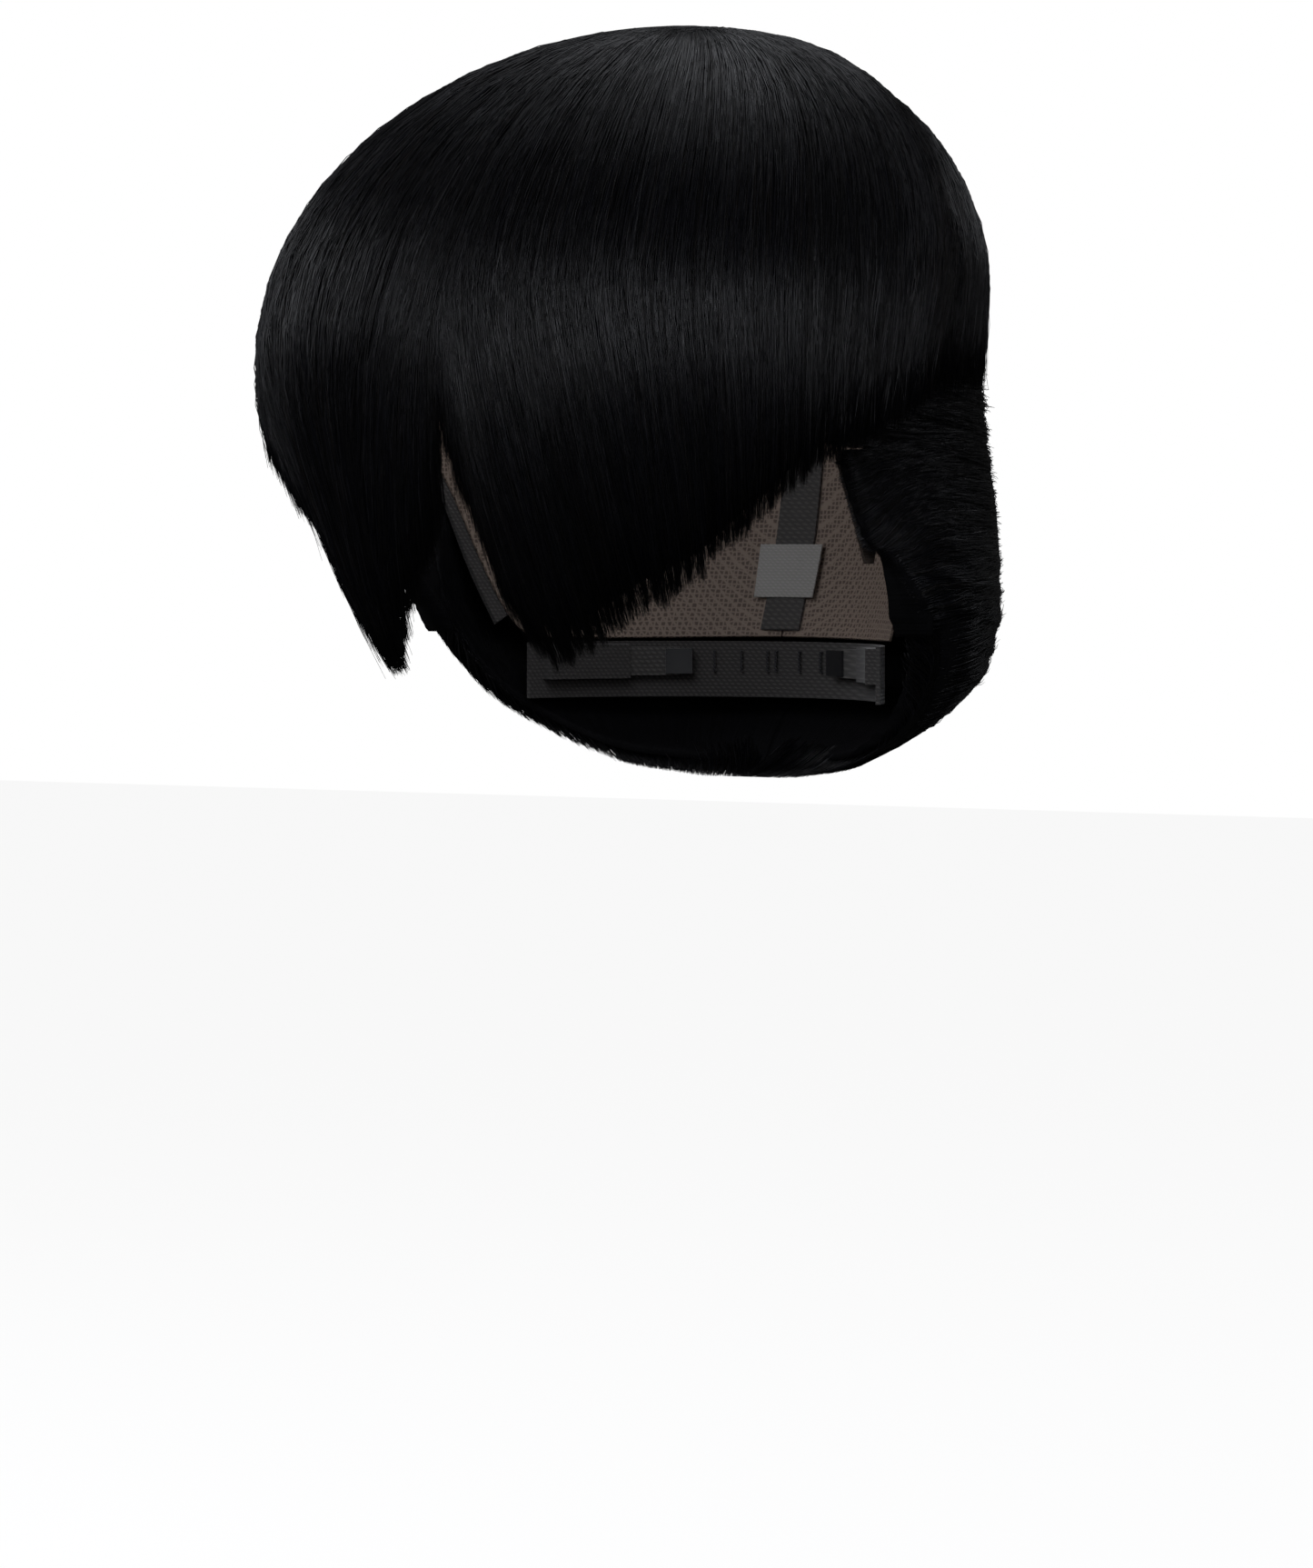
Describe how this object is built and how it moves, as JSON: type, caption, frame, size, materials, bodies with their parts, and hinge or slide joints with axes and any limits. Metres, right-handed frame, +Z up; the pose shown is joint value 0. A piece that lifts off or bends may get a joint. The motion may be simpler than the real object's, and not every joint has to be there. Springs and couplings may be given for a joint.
{
  "type": "costume wig",
  "caption": "Short straight black costume wig with a bowl-like top layer, a split fringe and an adjustable open cap.",
  "frame": {"origin": "middle of the head opening, level with the eyes and in the plane of the ears", "axes": "+X the wearer's left, -Y the face, +Z up; the crown is at the top and the nape hair hangs lowest"},
  "size_m": [0.1818, 0.2128, 0.204],
  "materials": {
    "hair": "smooth straight synthetic fibre with a soft sheen",
    "net": "open stretch net, brown",
    "skin_patch": "thin skin-toned mesh",
    "band": "woven band",
    "weft": "stitched track",
    "elastic": "ribbed elastic",
    "label": "satin ribbon, blank",
    "thread": "twisted thread",
    "hook": "moulded",
    "lace": "fine dark brown lace",
    "stay": "covered bendable strip"
  },
  "bodies": {
    "cap": {"fringe_left": "hair", "fringe_right": "hair", "crown_back_left": "hair", "crown_back_right": "hair", "crown_whorl": "hair", "side_hair_left": "hair", "side_hair_right": "hair", "nape_hair_left": "hair", "nape_hair_right": "hair", "ear_arch_hair_left": "hair", "ear_arch_hair_right": "hair", "crown_net_left": "net", "crown_net_right": "net", "crown_patch": "skin_patch", "front_band": "band", "ear_band_left": "band", "ear_band_right": "band", "nape_band": "band", "adjuster_casing_left": "band", "adjuster_casing_right": "band", "weft_1": "weft", "weft_2": "weft", "weft_3": "weft", "weft_4": "weft", "weft_5": "weft", "weft_6": "weft", "weft_7": "weft", "centre_ribbon": "elastic", "cross_ribbon_left": "elastic", "cross_ribbon_right": "elastic", "size_label": "label", "adjuster_loops_left": "thread", "adjuster_loops_right": "thread"},
    "ear_tab_left": {"ear_tab_left": "lace", "ear_stay_left": "stay", "temple_hair_left": "hair"},
    "adjuster_left": {"adjuster_strap_left": "elastic", "adjuster_hook_left": "hook"},
    "ear_tab_right": {"ear_tab_right": "lace", "ear_stay_right": "stay", "temple_hair_right": "hair"},
    "adjuster_right": {"adjuster_strap_right": "elastic", "adjuster_hook_right": "hook"}
  },
  "joints": [
    {"name": "ear_tab_left_flex", "type": "hinge", "parent": "cap", "child": "ear_tab_left", "pos_m": [0.073, -0.0067, 0.0182], "axis": [0, -1, 0], "range_deg": [-10, 15]},
    {"name": "adjuster_left_slide", "type": "hinge", "parent": "cap", "child": "adjuster_left", "pos_m": [0, 0.017, -0.04], "axis": [0, 0, 1], "range_deg": [0, 20]},
    {"name": "ear_tab_right_flex", "type": "hinge", "parent": "cap", "child": "ear_tab_right", "pos_m": [-0.073, -0.0067, 0.0182], "axis": [0, 1, 0], "range_deg": [-10, 15]},
    {"name": "adjuster_right_slide", "type": "hinge", "parent": "cap", "child": "adjuster_right", "pos_m": [0, 0.017, -0.04], "axis": [0, 0, -1], "range_deg": [0, 20]}
  ]
}
